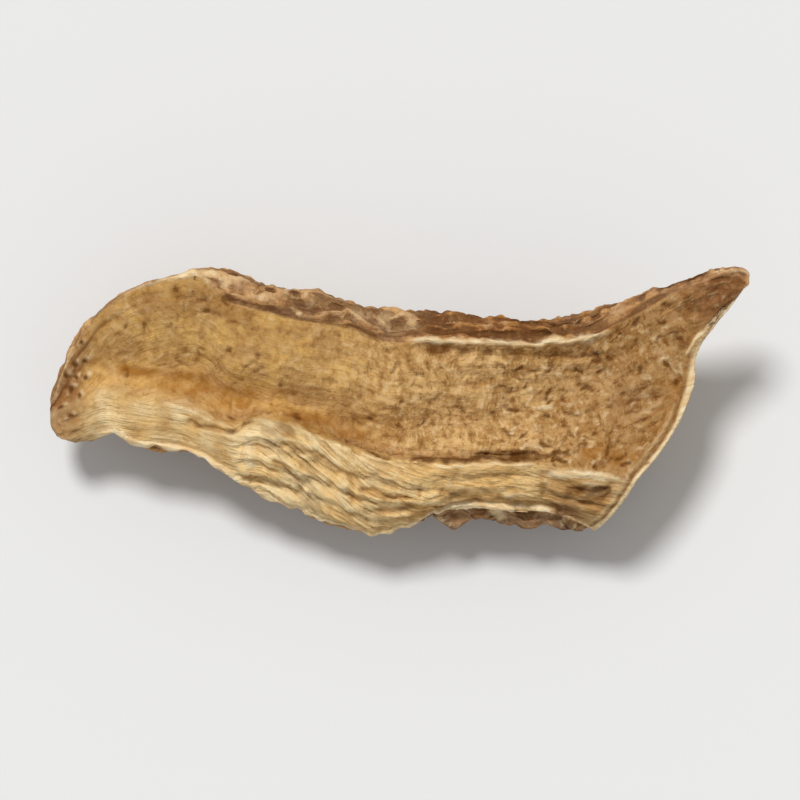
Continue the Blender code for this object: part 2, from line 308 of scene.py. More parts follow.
def flowing(line, part=1, over=2.0, pitch=0.1):
    """The line's y or height at each point's x, with its corners rounded over a length."""
    run = np.arange(-22.0, 22.0, pitch)
    window = np.hanning(int(over / pitch) | 1)
    level = np.interp(run, [corner[0] for corner in line], [corner[part] for corner in line])
    return np.interp(x, run, np.convolve(level, window / window.sum(), mode="same"))


SLANT = ((-8.6, 0.0), (-7.0, 0.5), (-1.5, 3.4), (1.5, 4.3), (8.0, 4.9), (13.0, 5.0))
slant = np.interp(x, *zip(*SLANT))
across_face = flowing(CUT_EDGE) - y
across_flank = FLANK_START + 0.95 * (flowing(CREST) - y) + 0.45 * (flowing(CREST, 2) - z) - slant
turn = np.arctan2(y, RADIUS - z)
across_bark = BARK_START + RADIUS * (turn + math.pi) % (RADIUS * 2 * math.pi)
ray = spots - HEART
across_end = END_START + 6.0 * np.arctan2(ray[:, 2], ray[:, 1])
along_end = np.linalg.norm(ray, axis=1)

END_GRAIN = 3
kind = np.argmax(np.stack((heart_cut, flank, bark, cut_end)), axis=0)
maps = np.stack((across_face, across_flank, across_bark, across_end))
grain_u = np.where(kind == END_GRAIN, along_end, x)
grain_v = np.choose(kind, maps)
print("points of each kind", np.bincount(kind))

# %% Write the grain map, face by face
loops = chip.data.loops
corner_point = np.zeros(len(loops), int)
loops.foreach_get("vertex_index", corner_point)
corner_point = corner_point.reshape(-1, 4)
face_kind = np.median(kind[corner_point], axis=1).astype(int)[:, None].repeat(4, 1)
corner_v = maps[face_kind, corner_point]
corner_u = np.where(face_kind == END_GRAIN, along_end[corner_point], x[corner_point])
grain = chip.data.uv_layers.new(name="grain")
grain.data.foreach_set("uv", (np.stack((corner_u, corner_v), axis=-1) / GRAIN_UNIT).ravel())
print("grain map spans", corner_v.min().round(1), "to", corner_v.max().round(1), "mm across")

# %% [markdown]
# ## Relief of each tissue
# The bark of a dried root shrinks into lengthwise furrows, the flank splits into strands that lie over each other
# like shingles, the cut face stays nearly smooth but for a fine fuzz, and the end grain sinks between its rays. A
# Displace modifier knows no grain, so the relief is summed from noises on the grain map and pushed out along the
# normals in one move. Noises stretched along U give fibres, and noises on the plain coordinates give lumps.

# %% Noises to draw with
from mathutils import noise


def noise_at(points, seed):
    return np.array([noise.noise(point) for point in (points + 13.7 * seed).tolist()])


def grain_noise(along, across, seed, bend=0.0):
    """A noise from -1 to 1 on the grain map, with lumps of two sizes in millimetres."""
    return noise_at(np.stack((grain_u / along, (grain_v + bend) / across, np.zeros(len(x))), axis=1), seed)


def lump_noise(size, seed):
    return noise_at(spots / size, seed)


def sharp(values):
    """Turns a noise into thin ridges, from 0 to 1."""
    return (1 - np.minimum(np.abs(values) * 2.2, 1)) ** 1.5


print("lumps of 1 mm reach", lump_noise(1.0, 1).max().round(2))

# %% Bark: broad lumps, furrows along the root, fine wrinkles, and short cracks across
bend = 0.5 * lump_noise(2.6, 2) + 0.2 * lump_noise(0.9, 3)
furrows = sharp(grain_noise(6.5, 0.8, 4, bend))
wrinkles = grain_noise(3.4, 0.34, 5, bend)
cracks = sharp(grain_noise(0.5, 2.2, 6, bend)) * ease(lump_noise(1.6, 7), 0.0, 0.3)
bark_relief = 0.14 * lump_noise(1.3, 8) + 0.11 * lump_noise(0.5, 9) + 0.09 * lump_noise(0.27, 10)
bark_relief += 0.24 * wrinkles - 0.26 * furrows - 0.1 * cracks
rests = 1 - 0.85 * ease(-calm_places[:, 2], -0.6, -0.1)
bark_relief *= bark * rests * (1 - 0.5 * ease(x, 13.0, 16.5))
print("bark relief", bark_relief.min().round(2), "to", bark_relief.max().round(2), "mm")

# %% Flank: shingled strands, strong in the folded middle and faint on the left
on_right = ease(x, 0.5, 3.0)
drift = 0.5 * lump_noise(1.9, 11) + 0.15 * lump_noise(0.7, 12)
layer = (across_flank + drift) / 0.95 + 0.75 * grain_noise(4.0, 1.6, 13)
step = layer % 1.0
patchy = ease(grain_noise(2.0, 0.9, 18, drift), -0.1, 0.35)
shingle = patchy * ease(step, 0.0, 0.7) * ease(1 - step, 0.0, 0.3)
under_shingle = patchy * bell(step - 0.97, 0.12)
strands = grain_noise(2.3, 0.26, 14, drift)
hairs = sharp(grain_noise(1.5, 0.2, 19, drift))
weave = grain_noise(0.45, 0.35, 20)
breaks = sharp(grain_noise(0.55, 1.3, 15, drift)) * ease(lump_noise(1.1, 16), 0.0, 0.3)
flank_strength = flank * (0.1 + 0.4 * ease(x, -9.0, -7.4) + 0.2 * folded)
flank_relief = (0.2 * shingle + 0.26 * strands) * (1 - 0.55 * on_right) + 0.14 * hairs - 0.12 * breaks - 0.1
flank_relief += 0.1 * lump_noise(0.7, 17) + 0.12 * on_right * weave
flank_relief *= flank_strength
print("flank relief", flank_relief.min().round(2), "to", flank_relief.max().round(2), "mm")

# %% Cut face and end grain
fuzz = sharp(lump_noise(0.42, 21)) - 0.4
face_relief = 0.12 * lump_noise(1.7, 22) + 0.06 * lump_noise(0.7, 23) + 0.05 * grain_noise(2.5, 0.3, 24)
face_relief = heart_cut * (face_relief + 0.09 * fuzz * (0.25 + 0.75 * to_right))
skin_relief = skin * (0.26 * lump_noise(0.45, 25) + 0.14 * lump_noise(0.25, 26))
outward = along_end / (along_end + from_skin) + 0.02 * lump_noise(1.2, 27)
growth_line = bell(outward - 0.5, 0.022)
rings = np.sin(70 * outward) * ease(outward, 0.5, 0.6)
end_relief = 0.3 * grain_noise(2.4, 0.5, 28) + 0.04 * rings + 0.1 * lump_noise(0.4, 29) - 0.1 * growth_line
end_relief *= cut_end * ease(from_rim, 0.1, 0.5)
print("end relief", end_relief.min().round(2), "to", end_relief.max().round(2), "mm")

# %% Push the relief out along the normals, then round the left tip, notch the horn and crumble two edges
relief = sturdy * (bark_relief + flank_relief + face_relief + skin_relief + end_relief)
places = calm_places + normals * relief[:, None]
places[:, 0] -= 0.45 * bell(y + 0.85, 0.6) * ease(-x, 16.0, 17.0)
places[:, 0] -= 0.3 * bell(y - 2.4, 1.1) * bell(from_rim, 0.9) * ease(x, 12.0, 13.5)
LEFTMOST = -17.35
places[:, 0] = held_above(places[:, 0], LEFTMOST, 0.15)
on_tip_edge = bell(from_edge, 0.6) * ease(-x, 14.2, 15.2) * ease(y, -0.6, 0.4)
on_foot_edge = bell(from_foot, 0.4) * ease(x, -14.6, -13.6) * ease(-x, -1.4, -0.4)
crumbs = 0.3 * (lump_noise(0.6, 46) * on_tip_edge + lump_noise(0.6, 47) * on_foot_edge)
places[:, :2] += normals[:, :2] * crumbs[:, None]
print("whole relief", relief.min().round(2), "to", relief.max().round(2), "mm")

# %% [markdown]
# ## Splits, ridges and pits
# These are the marks that tell this chip from any other: the split just inside the crest, the pale ridge along the
# back of the dish, the stepped breaks of the flank, and the pores. No noise puts them in the right place, so they
# are moved one by one, as a sculptor would: each is a line, a width and a depth. The same stroke leaves a dark or a
# pale mark, which the colours use later. A drawn line would look too clean, so the strokes waver a little.

# %% A stroke that moves points and marks them
lift = np.zeros(len(x))
dark, pale, stain = np.zeros(len(x)), np.zeros(len(x)), np.zeros(len(x))
waver = np.stack((lump_noise(0.7, 31), lump_noise(0.7, 32)), axis=1)
drawn = spots[:, :2] + 0.14 * waver
grip = 0.8 + 0.6 * lump_noise(0.5, 33)
shown = np.maximum(top, ease(normals[:, 2], 0.0, 0.25) * (1 - covered) * ease(z, 6.3, 6.8))


def stroke(line, width, height, mark, strength, ends=0.12):
    """Raises or sinks a narrow strip along a line, tapering to its ends, and marks it dark, pale or stained."""
    distance, along = reach(pairs_of(line), drawn)
    strip = bell(distance, width) * shown * ease(along, 0, ends) * ease(1 - along, 0, ends)
    lift[:] += height * strip
    mark[:] = np.maximum(mark, strength * strip * grip)


def spot(centre, radius, height, mark, strength):
    """Raises or sinks a small round place, and marks it."""
    disc = bell(np.hypot(*(drawn - centre).T), radius) * shown
    lift[:] += height * disc
    mark[:] = np.maximum(mark, strength * disc)


def ring(centre, half_length, half_width, tilt, height, strength):
    """A raised brim of dry skin round a dark hollow, as round a pore or in a curled scale."""
    turned = math.radians(tilt)
    dx, dy = (drawn - centre).T
    along = (dx * math.cos(turned) + dy * math.sin(turned)) / half_length
    across = (dy * math.cos(turned) - dx * math.sin(turned)) / half_width
    out = np.hypot(along, across)
    brim, hollow = (bell(out - middle, 0.4) * shown for middle in (1.0, 0.0))
    lift[:] += height * (brim - 1.2 * hollow)
    pale[:] = np.maximum(pale, strength * brim * grip)
    dark[:] = np.maximum(dark, strength * hollow)


# %% The split inside the crest, and the crease before it
stroke(((0.4, -2.66), (0.9, -2.72), (1.6, -2.86), (2.7, -2.9), (3.8, -2.78)), 0.17, -0.34, dark, 1.1, 0.1)
stroke(((2.9, -2.88), (3.8, -2.78), (5.8, -2.74), (7.2, -2.62)), 0.22, -0.42, dark, 1.15, 0.1)
stroke(((6.6, -2.66), (7.6, -2.62), (8.8, -2.72)), 0.12, -0.2, dark, 0.8, 0.1)
stroke(((1.2, -3.12), (2.7, -3.2), (4.0, -3.1), (5.8, -3.06), (7.0, -3.1)), 0.12, 0.12, pale, 0.8)
stroke(((-2.6, -1.95), (-1.9, -2.2), (-1.2, -2.6), (-0.3, -2.75)), 0.14, -0.22, dark, 0.85)
stroke(((7.1, -3.64), (8.7, -3.55), (10.3, -3.76), (11.3, -3.93)), 0.2, 0.18, pale, 1.7)
# Painted shadow: the broad hollow under the pale ridge at the right of the flank is sunk and painted dark.
stroke(((8.1, -4.35), (9.3, -4.55), (10.7, -4.4)), 0.36, -0.14, dark, 0.75)
for line in (((8.4, -4.3), (9.2, -4.42)), ((9.4, -4.7), (10.4, -4.65)), ((9.8, -4.25), (10.3, -4.3))):
    stroke(line, 0.12, -0.12, dark, 0.8, 0.2)
stroke(((8.8, -4.62), (9.4, -4.5), (9.9, -4.5)), 0.12, 0.1, pale, 0.5, 0.2)
stroke(((-11.6, -0.1), (-10.5, -0.35), (-9.4, -0.8), (-8.6, -1.15), (-8.1, -1.15)), 0.2, 0.2, pale, 0.7, 0.2)
stroke(((-10.6, -0.95), (-9.5, -1.3), (-8.8, -1.46), (-8.15, -1.46), (-7.7, -1.14), (-7.1, -0.85)),
       0.13, -0.26, dark, 0.7)
spot((-8.2, -0.8), 0.16, -0.14, dark, 0.6)
print("dark marks on", int((dark > 0.3).sum()), "points")

# %% The pale ridge at the back of the dish, and the shaded hollow under it
RIDGE = ((0.0, 3.05), (1.2, 3.1), (2.9, 2.98), (3.9, 2.94), (4.5, 3.06), (5.8, 2.9), (7.0, 2.9),
         (7.5, 3.1), (8.9, 3.16), (10.2, 3.4), (11.0, 3.6))
stroke(RIDGE, 0.18, 0.24, pale, 1.1, 0.14)
stroke(((7.0, 3.08), (8.6, 3.12), (10.0, 3.26)), 0.27, 0.08, pale, 1.2, 0.2)
# The hollow under the ridge is sunk and painted dark as painted shade, and so is its thin shaded wall further
# right.
stroke(((0.2, 2.65), (2.0, 2.6), (3.6, 2.5), (5.5, 2.4), (7.4, 2.5), (9.0, 2.5), (10.4, 2.75)),
       0.38, -0.16, dark, 0.8)
stroke(((6.5, 2.26), (7.6, 2.19), (8.9, 2.19), (9.8, 2.3), (10.5, 2.42)), 0.13, -0.25, dark, 0.9)
stroke(((3.4, 0.94), (4.5, 1.08), (4.9, 1.33), (6.0, 1.38), (7.35, 1.66)), 0.13, -0.16, dark, 0.65)
stroke(((7.37, 1.95), (7.42, 1.65), (7.42, 1.3)), 0.1, -0.14, dark, 0.6)
print("pale marks on", int((pale > 0.3).sum()), "points")

# %% Breaks, plates and lens-shaped folds of the flank
stroke(((-7.5, -1.3), (-7.45, -2.0), (-7.5, -2.7), (-7.35, -3.4)), 0.26, 0.22, pale, 0.75)
FLANK_BREAKS = (
    ((-6.9, -1.96), (-5.4, -2.24), (-4.2, -2.6), (-3.3, -3.1)),
    ((-6.5, -2.87), (-5.4, -3.5), (-4.9, -4.0), (-4.7, -4.5)),
    ((-4.1, -2.65), (-3.5, -3.1), (-2.9, -3.7)),
    ((-2.2, -4.27), (-1.2, -4.48), (-0.3, -4.82), (0.8, -4.82)),
    ((-2.2, -5.33), (-1.5, -5.6), (-0.8, -5.47), (0.9, -5.2)),
    ((1.8, -4.58), (3.3, -4.6), (4.4, -4.85)),
    ((5.05, -4.2), (5.15, -4.9), (5.9, -5.0), (7.3, -4.9)),
    ((7.1, -4.05), (7.35, -4.8)),
    ((8.7, -4.2), (9.5, -4.5), (10.5, -4.3)),
    ((8.8, -4.95), (9.6, -4.9), (10.4, -4.8)),
)
# Each break is sunk and painted dark as the shaded side of a plate, and the strip above is raised and painted pale
# as a highlight: painted shade and painted highlight, as in the strokes below.
for line in FLANK_BREAKS:
    stroke(line, 0.17, -0.22, dark, 0.5, 0.2)
    stroke([(px + 0.05, py + 0.3) for px, py in line], 0.17, 0.1, pale, 0.5, 0.2)
stroke(FLANK_BREAKS[3], 0.13, -0.14, dark, 0.75, 0.15)
stroke(((-2.35, -3.7), (-2.4, -4.4), (-2.3, -5.2)), 0.13, -0.14, dark, 0.45, 0.2)
stroke(((-2.65, -3.9), (-2.72, -4.5), (-2.6, -5.1)), 0.2, 0.14, pale, 0.7, 0.2)
stroke(((0.98, -4.1), (1.05, -4.9)), 0.12, -0.16, dark, 0.6, 0.2)
print("breaks drawn", len(FLANK_BREAKS))

# %% Knobs of bark along the back band, and the painted shade in the gap under them
BAND_KNOBS = (
    (-8.0, 5.8, 0.34), (-7.25, 5.35, 0.22), (-6.45, 5.2, 0.3), (-5.6, 5.45, 0.24), (-5.2, 4.7, 0.2),
    (-4.3, 5.1, 0.4), (-3.75, 4.5, 0.22), (-2.9, 4.5, 0.28), (-1.5, 4.3, 0.36), (-0.5, 3.75, 0.2),
    (0.6, 4.1, 0.3), (2.6, 4.1, 0.22), (4.4, 3.8, 0.26), (6.6, 4.1, 0.2), (8.9, 4.2, 0.3), (10.9, 4.6, 0.34),
)
for px, py, radius in BAND_KNOBS:
    spot((px, py), 1.2 * radius, 0.7 * radius, pale, 0.36)
SCALES = (
    (-5.1, 5.5, 0.55, 0.24, -12), (0.05, 4.0, 0.75, 0.32, 2), (-6.4, 5.65, 0.5, 0.22, -25),
    (-3.0, 4.85, 0.55, 0.3, -8), (7.8, 3.8, 0.4, 0.2, 0), (9.7, 4.3, 0.45, 0.2, 25),
    (4.9, 3.8, 0.42, 0.22, 5), (2.5, 3.9, 0.42, 0.2, -4), (-8.2, 5.6, 0.4, 0.22, -20),
)
for place, (px, py, half_length, half_width, tilt) in enumerate(SCALES):
    ring((px, py), half_length, half_width, tilt, 0.14, 0.5 if place < 2 else 0.28)
for centre in ((-0.7, 4.25), (0.6, 3.95), (-1.9, 4.4)):
    spot(centre, 0.5, 0.0, pale, 0.5)
spot((-4.16, 4.77), 0.2, -0.2, dark, 0.8)
spot((-2.16, 4.61), 0.18, 0.14, pale, 0.8)
spot((-4.98, 4.41), 0.18, 0.14, pale, 0.8)
spot((-6.85, 5.3), 0.22, 0.14, pale, 0.8)
GAP = ((-8.8, 5.35), (-7.4, 4.85), (-6.1, 4.5), (-5.2, 4.15), (-4.0, 3.8), (-3.3, 3.7), (-2.1, 3.72), (-0.6, 2.85))
# The gap under the knobs is sunk and painted dark, as painted shade.
stroke(GAP, 0.14, -0.16, dark, 0.4, 0.06)
for piece in (GAP[:2], GAP[2:4], GAP[5:]):
    stroke(piece, 0.16, -0.08, dark, 0.75, 0.25)
stroke(((-0.2, 3.45), (2.0, 3.5), (4.5, 3.45), (7.0, 3.45), (9.0, 3.65)), 0.14, -0.14, dark, 0.42, 0.1)
stroke(((-11.2, 6.2), (-10.2, 6.42), (-9.4, 6.42), (-8.8, 6.25), (-8.1, 6.0)), 0.25, 0.05, pale, 0.95, 0.12)
stroke(((-8.6, 6.2), (-7.6, 6.0), (-6.8, 5.85)), 0.18, 0.06, pale, 0.7, 0.1)
spot((-8.6, 5.9), 0.35, 0.06, pale, 0.6)
print("knobs", len(BAND_KNOBS))

# %% The rolled end of the horn
for line in (((15.2, 6.02), (15.8, 6.1), (16.35, 6.05)), ((15.45, 5.6), (16.2, 5.62)),
             ((15.25, 5.25), (15.5, 4.95), (15.95, 5.0)), ((16.95, 6.25), (16.95, 5.95)),
             ((13.0, 4.9), (13.8, 4.6))):
    stroke(line, 0.13, -0.16, dark, 0.75, 0.1)
stroke(((13.5, 3.35), (14.15, 3.05)), 0.22, -0.1, dark, 0.75, 0.1)
HORN_EDGE = ((14.55, 2.0), (14.85, 2.7), (15.35, 3.5), (15.95, 4.2), (16.5, 4.8), (17.0, 5.35), (17.3, 5.9),
             (17.2, 6.3), (16.8, 6.5), (16.0, 6.5), (15.2, 6.35))
stroke(HORN_EDGE, 0.17, 0.12, pale, 0.6, 0.06)
stroke(((14.35, 2.1), (14.6, 2.8), (15.15, 3.6), (15.75, 4.3), (16.4, 4.95)), 0.12, 0.08, pale, 1.0, 0.08)
for line in (((15.5, 5.88), (16.4, 5.86)), ((15.1, 6.1), (15.05, 5.5), (15.2, 5.0)), ((15.3, 4.8), (16.1, 4.75)),
             ((14.5, 5.6), (14.45, 4.9)), ((13.9, 5.2), (13.8, 4.5)), ((14.3, 4.3), (14.9, 4.0))):
    stroke(line, 0.16, 0.12, pale, 0.34, 0.2)
ring((15.65, 5.15), 0.32, 0.24, 20, 0.1, 0.45)
print("horn worked")

# %% Pores, nicks and dry wrinkles of the cut face
PORES = (
    (-6.97, 2.26, 0.16), (-8.5, 2.55, 0.14), (-5.8, 0.85, 0.17), (-2.9, 3.3, 0.15), (-0.05, 1.85, 0.13),
    (-13.57, 3.76, 0.15), (0.15, 0.02, 0.14), (-1.5, -0.85, 0.24), (-5.07, -0.75, 0.26), (8.1, 0.1, 0.15),
    (11.9, 1.5, 0.14), (11.2, 0.35, 0.16), (3.2, -0.4, 0.12), (5.2, -0.2, 0.13), (9.3, -2.2, 0.16),
)
for px, py, radius in PORES:
    spot((px, py), radius, -0.16, dark, 0.85)
stroke(((-0.75, 2.6), (-0.3, 2.4)), 0.14, -0.18, dark, 0.9)
stroke(((-12.65, 4.0), (-12.72, 3.1)), 0.14, -0.14, dark, 0.95)
for line in (((-10.8, 5.2), (-10.72, 4.25)), ((-10.3, 4.3), (-9.8, 4.5), (-9.2, 4.62)),
             ((-10.1, 5.05), (-9.4, 5.0)), ((-10.35, 5.5), (-10.0, 5.15)), ((-11.2, 5.7), (-10.9, 5.4)),
             ((-10.2, 6.15), (-10.0, 6.1)), ((-8.9, 5.3), (-8.4, 4.75))):
    stroke(line, 0.13, -0.12, dark, 0.85, 0.2)
stroke(((11.4, 0.45), (12.3, 0.2), (13.5, 0.25)), 0.2, -0.14, dark, 0.55)
stroke(((11.0, -0.2), (12.2, -0.35), (13.6, -0.3)), 0.15, -0.1, dark, 0.4)
# Two small pale spots on the face are painted glints.
for centre in ((-6.7, -0.62), (-5.85, -0.58)):
    spot(centre, 0.16, 0.08, pale, 0.6)
print("pores", len(PORES))

# %% Short curled fibres, thick on the right of the cut face and thin on its left
chance = np.random.default_rng(7)
for low, high, number, strong in ((5.0, 14.4, 150, 1.0), (-1.0, 5.5, 36, 0.75), (-14.5, -1.5, 70, 0.65)):
    for _ in range(number):
        px = chance.uniform(low, high)
        bottom, over = (np.interp(px, *list(zip(*line))[:2]) for line in (CREST, CUT_EDGE))
        py = chance.uniform(bottom + 0.4, over - 0.3)
        turned, half, bow = chance.normal(0.2, 0.8), chance.uniform(0.15, 0.6), chance.uniform(-0.4, 0.4)
        dx, dy = half * math.cos(turned), half * math.sin(turned)
        line = ((px - dx, py - dy), (px - bow * dy, py + bow * dx), (px + dx, py + dy))
        if chance.random() < 0.55:
            stroke(line, 0.12, -0.07, dark, strong, 0.25)
        else:
            stroke(line, 0.12, 0.06, pale, 0.65 * strong, 0.25)
print("pale marks on", int((pale > 0.3).sum()), "points")

# %% Rims: the pale lip of the cut end, the edge of the dish, and the flank's cream foot
top_rim = top * ease(y, -6.6, -6.0)
skin_side = cut_end * bell(from_skin, 0.3)
lip = bell(from_rim, 0.27) * np.maximum(top_rim, cut_end) * (1 - skin_side)
second = bell(from_rim - 0.62, 0.13) * top_rim * ease(-y, -1.5, 1.0)
between = bell(from_rim - 0.38, 0.11) * top_rim * ease(-y, -4.0, 0.0)
lift += 0.15 * lip * top_rim + 0.06 * second - 0.1 * between
pale = np.maximum(pale, np.maximum(1.8 * lip, 0.45 * second))
dark = np.maximum(dark, 0.6 * between)

above_foot = np.where(y - foot_y + over_foot > 0, from_foot, -from_foot)
on_left, on_lip = ease(-x, 7.0, 9.0), ease(x, 1.4, 2.4) * ease(-x, -8.4, -6.7)
inwards, broad = 0.08 + 0.14 * on_left + 0.06 * on_lip, 0.2 + 0.07 * on_left + 0.04 * on_lip
foot_rim = bell(above_foot - inwards, broad) * ease(x, -15.6, -14.4)
outside = np.where(y > edge_y, from_edge, -from_edge)
edge_rim = bell(np.maximum(np.abs(outside - 0.16) - 0.1, 0), 0.14) * ease(-x, 8.6, 9.6) * ease(z, 4.4, 5.0)
tip_rim = bell(np.minimum(from_edge, from_foot), 0.2) * tip
lift += (0.16 + 0.22 * on_left + 0.12 * on_lip) * foot_rim
places[:, 1] -= (0.08 * on_left + 0.24 * on_lip) * foot_rim
edge_rim *= 0.22 + 0.33 * ease(x, -15.0, -11.0)
foot_rim *= ease(above_foot, -0.28, -0.05) * (0.9 + 0.9 * np.maximum(on_left, on_lip))
pale = np.maximum.reduce((pale, foot_rim, edge_rim, 0.5 * tip_rim))
crease = bell(edge_y - y - 0.75, 0.14) * top * ease(-x, 13.4, 14.6) * ease(y, 1.0, 2.4)
lift -= 0.12 * crease
dark = np.maximum(dark, 0.4 * crease)
print("rims raised")

# %% Small bumps and pits round the left tip
TIP_PORES = ((-16.2, 1.88, 0.2), (-15.67, 2.04, 0.2), (-16.6, 1.3, 0.17), (-15.6, 1.22, 0.17), (-15.8, 2.86, 0.15),
             (-16.4, 0.57, 0.2), (-16.75, -0.3, 0.17), (-16.1, 1.2, 0.14), (-15.9, 0.3, 0.15), (-16.3, -0.7, 0.15))
for px, py, radius in TIP_PORES:
    spot((px, py), 0.9 * radius, -0.16, dark, 1.0)
    spot((px + radius, py + 0.9 * radius), 1.2 * radius, 0.15, pale, 0.6)
    spot((px - 0.8 * radius, py - 0.6 * radius), radius, 0.12, pale, 0.45)
print("tip pores", len(TIP_PORES))

# %% Stains where sap dried in the dish, browner places, and some painted shade
stroke(((-14.4, 1.75), (-13.4, 1.6), (-12.4, 1.38), (-11.2, 1.2), (-9.8, 1.1)), 0.28, 0.0, stain, 1.1, 0.15)
stroke(((-13.0, 0.95), (-11.4, 0.75), (-9.8, 0.55), (-8.4, 0.25), (-7.4, -0.1), (-6.3, -0.5)),
       0.75, 0.0, stain, 0.8, 0.2)
stroke(((-6.4, -0.7), (-4.8, -0.85), (-3.4, -1.2), (-2.4, -1.55), (-1.3, -2.1)), 0.5, 0, stain, 0.85, 0.15)
stroke(((8.6, -2.5), (10.0, -2.6), (11.2, -2.8), (12.2, -3.0)), 0.5, 0.0, stain, 0.85, 0.2)
stroke(((12.6, -1.9), (13.4, -0.4), (13.8, 1.6)), 0.55, 0.0, stain, 0.6, 0.2)
stroke(((7.5, -1.8), (8.2, -0.6), (8.2, 0.6)), 0.25, 0.0, stain, 0.5, 0.2)
browning_and_painted_shade = np.zeros(len(x))
BROWNING_AND_PAINTED_SHADE = (
    (((-14.2, 1.7), (-13.0, 1.62), (-12.0, 1.45), (-10.5, 1.22), (-9.2, 1.15)), 0.2, 1.1),
    # painted shade, darker along the back of the dish on the left
    (((-13.6, 4.5), (-11.6, 5.2), (-9.8, 5.2), (-8.6, 4.7), (-6.5, 3.9)), 0.75, 1.35),
    (((-16.6, 0.6), (-15.9, 2.2), (-14.9, 3.7), (-13.6, 4.8)), 0.45, 0.9),
    (((-9.0, 3.2), (-5.5, 3.3), (-2.5, 3.1)), 0.75, 0.75),
    (((-5.8, -0.7), (-4.4, -0.85), (-3.2, -1.3), (-1.8, -2.0)), 0.3, 1.3),
    (((-7.0, -1.4), (-6.0, -1.4), (-5.0, -1.5)), 0.4, 1.0),
    (((8.6, -2.6), (10.0, -2.8), (12.2, -2.9)), 0.45, 1.1),
    (((10.6, -0.7), (11.6, 0.3), (12.9, 0.2)), 0.4, 1.0),
    (((12.9, -0.9), (13.6, 0.8), (13.8, 2.2)), 0.4, 0.8),
    (((11.0, 3.4), (12.2, 3.2), (13.4, 4.0)), 0.35, 0.8),
    # painted shadow under the pale ridge at the right of the flank
    (((7.2, -4.2), (8.6, -4.7), (10.6, -4.7)), 0.6, 1.1),
    (((1.6, -3.5), (4.0, -3.55), (6.6, -3.55)), 0.22, 0.7),
    (((2.0, -4.75), (4.0, -4.75), (6.8, -4.8)), 0.24, 0.8),
)
for line, width, strong in BROWNING_AND_PAINTED_SHADE:
    stroke(line, width, 0.0, browning_and_painted_shade, strong, 0.15)
print("stains on", int((stain > 0.3).sum()), "points")

# %% [markdown]
# ## Bark that curls out
# Under the right half of the flank's foot, a strip of dry bark has come loose and curls outwards. It could be a
# thin sheet of its own, but it grew on the chip, and a sheet would show its seam. So the bark just below the foot
# is pushed out instead, as far as a ragged line, and its brims and hollows are drawn on it where it lies then.

# %% Push the bark out beyond the flank's foot
SKIRT = ((1.7, 0.0, 4.2), (2.0, 0.5, 4.2), (2.4, 1.0, 4.1), (3.0, 1.02, 4.1), (3.6, 0.85, 4.2), (4.1, 0.68, 4.3),
         (4.6, 0.74, 4.3), (5.2, 0.96, 4.2), (5.9, 0.92, 4.3), (6.6, 0.9, 4.2), (7.1, 0.7, 4.2), (7.7, 0.75, 4.1),
         (8.3, 0.7, 4.1), (8.9, 0.42, 4.0), (9.4, 0.12, 4.0), (9.8, 0.0, 4.0))
hang = flowing(SKIRT, 1, 0.7) * (1 + 0.3 * lump_noise(0.9, 41) + 0.25 * lump_noise(0.45, 42))
level = flowing(SKIRT, 2, 0.7) + 0.35 * lump_noise(1.3, 45)
FOREMOST = -6.35
outermost = held_above(foot_y - hang, FOREMOST, 0.22) - MIDDLE[1]
roll = bell(z - level, 0.9, 2.5) * ease(bark, 0.3, 0.9)
pushed = roll * ease(hang, 0.05, 0.3) * ease(-y, 3.0, 4.0) * np.maximum(places[:, 1] - outermost, 0)
places[:, 1] -= pushed
dusky = ease(pushed, 0.03, 0.35)
patch = top * np.maximum(*(bell(np.hypot(x - px, y - py + 0.25 * waver[:, 0]), radius, 2.5)
                           for px, py, radius in ((8.2, -5.7, 0.85), (2.75, -5.45, 0.35))))
dusky = np.maximum(dusky, patch)
seen = ease(z - level, -0.5, 0.1)
pale = np.maximum(pale * (1 - 0.9 * dusky), 0.28 * dusky * seen)
lift += dusky * (0.2 * noise_at(places / (1.1, 0.4, 0.4), 43) + 0.12 * noise_at(places / (0.5, 0.2, 0.2), 44))
print("bark pushed out by", pushed.max().round(2), "mm")

# %% Brims and hollows on the curled bark, drawn where it lies now
drawn = places[:, :2] + MIDDLE[:2] + 0.1 * waver
shown = np.maximum(shown, seen * ease(dusky, 0.05, 0.3) * ease(foot_y - drawn[:, 1], -0.1, 0.15))
stroke(((2.0, -5.25), (2.0, -5.75), (2.35, -6.15), (2.85, -6.3), (3.3, -6.1)), 0.13, 0.12, pale, 0.7, 0.2)
stroke(((2.45, -5.4), (2.7, -5.75), (3.1, -5.7)), 0.2, -0.18, dark, 0.7, 0.2)
spot((2.95, -5.5), 0.15, 0.06, pale, 0.4)
stroke(((4.5, -5.2), (5.0, -5.45), (5.25, -6.0)), 0.3, 0.05, pale, 1.2, 0.15)
# The first two dark lines are painted shadow in the gap under the flank's foot; the third is a line in the bark.
for line in (((3.4, -5.35), (4.5, -5.45)), ((3.5, -5.7), (4.4, -5.75)), ((5.7, -5.5), (7.0, -5.55))):
    stroke(line, 0.2, -0.1, dark, 0.85, 0.2)
for line in (((5.7, -5.4), (6.4, -5.45), (7.0, -5.4)), ((5.8, -5.7), (6.8, -5.75)), ((2.3, -5.3), (2.7, -5.3))):
    stroke(line, 0.12, -0.14, dark, 0.8, 0.15)
ring((7.95, -5.45), 0.32, 0.24, 60, 0.05, 0.7)
ring((8.45, -6.05), 0.36, 0.26, -30, 0.08, 0.7)
stroke(((7.35, -5.4), (7.45, -5.9), (7.8, -6.3)), 0.13, 0.07, pale, 0.7, 0.15)

# %% Move the points, and keep the chip on its resting face
places[:, 2] = np.maximum(places[:, 2] + lift, 0.0)
chip.data.vertices.foreach_set("co", (places * MM).ravel())
chip.data.update()
print("lifted between", lift.min().round(2), "and", lift.max().round(2), "mm")

